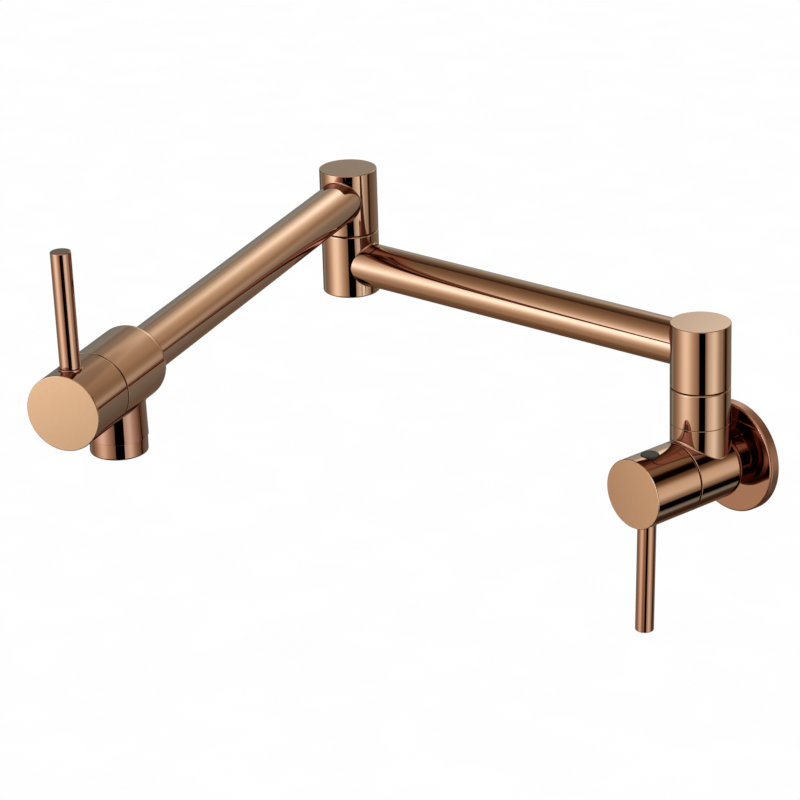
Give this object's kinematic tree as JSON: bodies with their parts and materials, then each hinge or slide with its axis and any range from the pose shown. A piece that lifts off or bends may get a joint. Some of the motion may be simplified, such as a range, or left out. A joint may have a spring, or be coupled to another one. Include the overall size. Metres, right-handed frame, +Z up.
{
  "type": "wall mounted pot filler",
  "caption": "Wall-mounted pot filler tap with a folding double-jointed swing arm, a quarter-turn lever valve at the wall and another at the spout, and an aerated outlet.",
  "frame": {"origin": "centre of the wall flange's back face, on the axis of the inlet", "axes": "-Y away from the wall along the inlet's axis, +Z up along the riser, +X to the right of somebody who faces the wall"},
  "size_m": [0.2839, 0.3954, 0.2644],
  "materials": {
    "rose_gold": "polished rose-gold plating on brass",
    "raw_brass": "turned brass, unplated",
    "rubber": "black sealing rubber",
    "white_plastic": "moulded acetal",
    "grey_plastic": "moulded, dark grey",
    "ceramic": "lapped alumina ceramic",
    "steel": "stainless steel"
  },
  "bodies": {
    "wall_valve": {"wall_flange": "rose_gold", "flange_gasket": "rubber", "flange_o_ring": "rubber", "valve_body": "rose_gold", "inlet_nipple": "raw_brass", "inlet_washer": "rubber", "wall_headwork": "raw_brass", "wall_headwork_o_ring": "rubber", "wall_seat_seal": "rubber", "wall_fixed_disc": "ceramic", "riser_nut": "rose_gold", "riser_slip_washers": "white_plastic", "riser_glide_ring": "rubber"},
    "wall_handle": {"wall_spindle": "raw_brass", "wall_spindle_o_rings": "rubber", "wall_moving_disc": "ceramic", "wall_handle_cap": "rose_gold", "wall_lever": "rose_gold", "wall_grub_screw": "steel", "wall_screw_plug": "grey_plastic"},
    "inner_arm": {"inner_knuckle": "rose_gold", "riser_swivel": "raw_brass", "riser_o_rings": "rubber", "inner_tube": "rose_gold", "elbow_lower_knuckle": "rose_gold", "elbow_bottom_plug": "raw_brass", "elbow_plug_o_ring": "rubber", "elbow_glide_ring": "rubber"},
    "outer_arm": {"elbow_upper_knuckle": "rose_gold", "elbow_swivel": "raw_brass", "elbow_o_rings": "rubber", "elbow_snap_ring": "steel", "outer_tube": "rose_gold", "spout_body": "rose_gold", "spout_headwork": "raw_brass", "spout_headwork_o_ring": "rubber", "spout_seat_seal": "rubber", "spout_fixed_disc": "ceramic", "aerator_housing": "rose_gold", "aerator_insert": "white_plastic", "aerator_screen": "grey_plastic", "aerator_washer": "rubber"},
    "spout_handle": {"spout_spindle": "raw_brass", "spout_spindle_o_rings": "rubber", "spout_moving_disc": "ceramic", "spout_handle_cap": "rose_gold", "spout_lever": "rose_gold", "spout_grub_screw": "steel", "spout_screw_plug": "grey_plastic"}
  },
  "joints": [
    {"name": "wall_handle_turn", "type": "hinge", "parent": "wall_valve", "child": "wall_handle", "pos_m": [0, -0.046, 0], "axis": [0, -1, 0], "range_deg": [0, 90]},
    {"name": "inner_arm_swing", "type": "hinge", "parent": "wall_valve", "child": "inner_arm", "pos_m": [0, -0.028, 0.0471], "axis": [0, 0, 1], "range_deg": [-8.5, 171.5]},
    {"name": "elbow_swing", "type": "hinge", "parent": "inner_arm", "child": "outer_arm", "pos_m": [-0.23736, -0.06347, 0.086], "axis": [0, 0, 1], "range_deg": [-287.7, 72.3]},
    {"name": "spout_handle_turn", "type": "hinge", "parent": "outer_arm", "child": "spout_handle", "pos_m": [-0.09961, -0.34342, 0.1053], "axis": [0.4415, -0.8973, 0], "range_deg": [0, 90]}
  ]
}
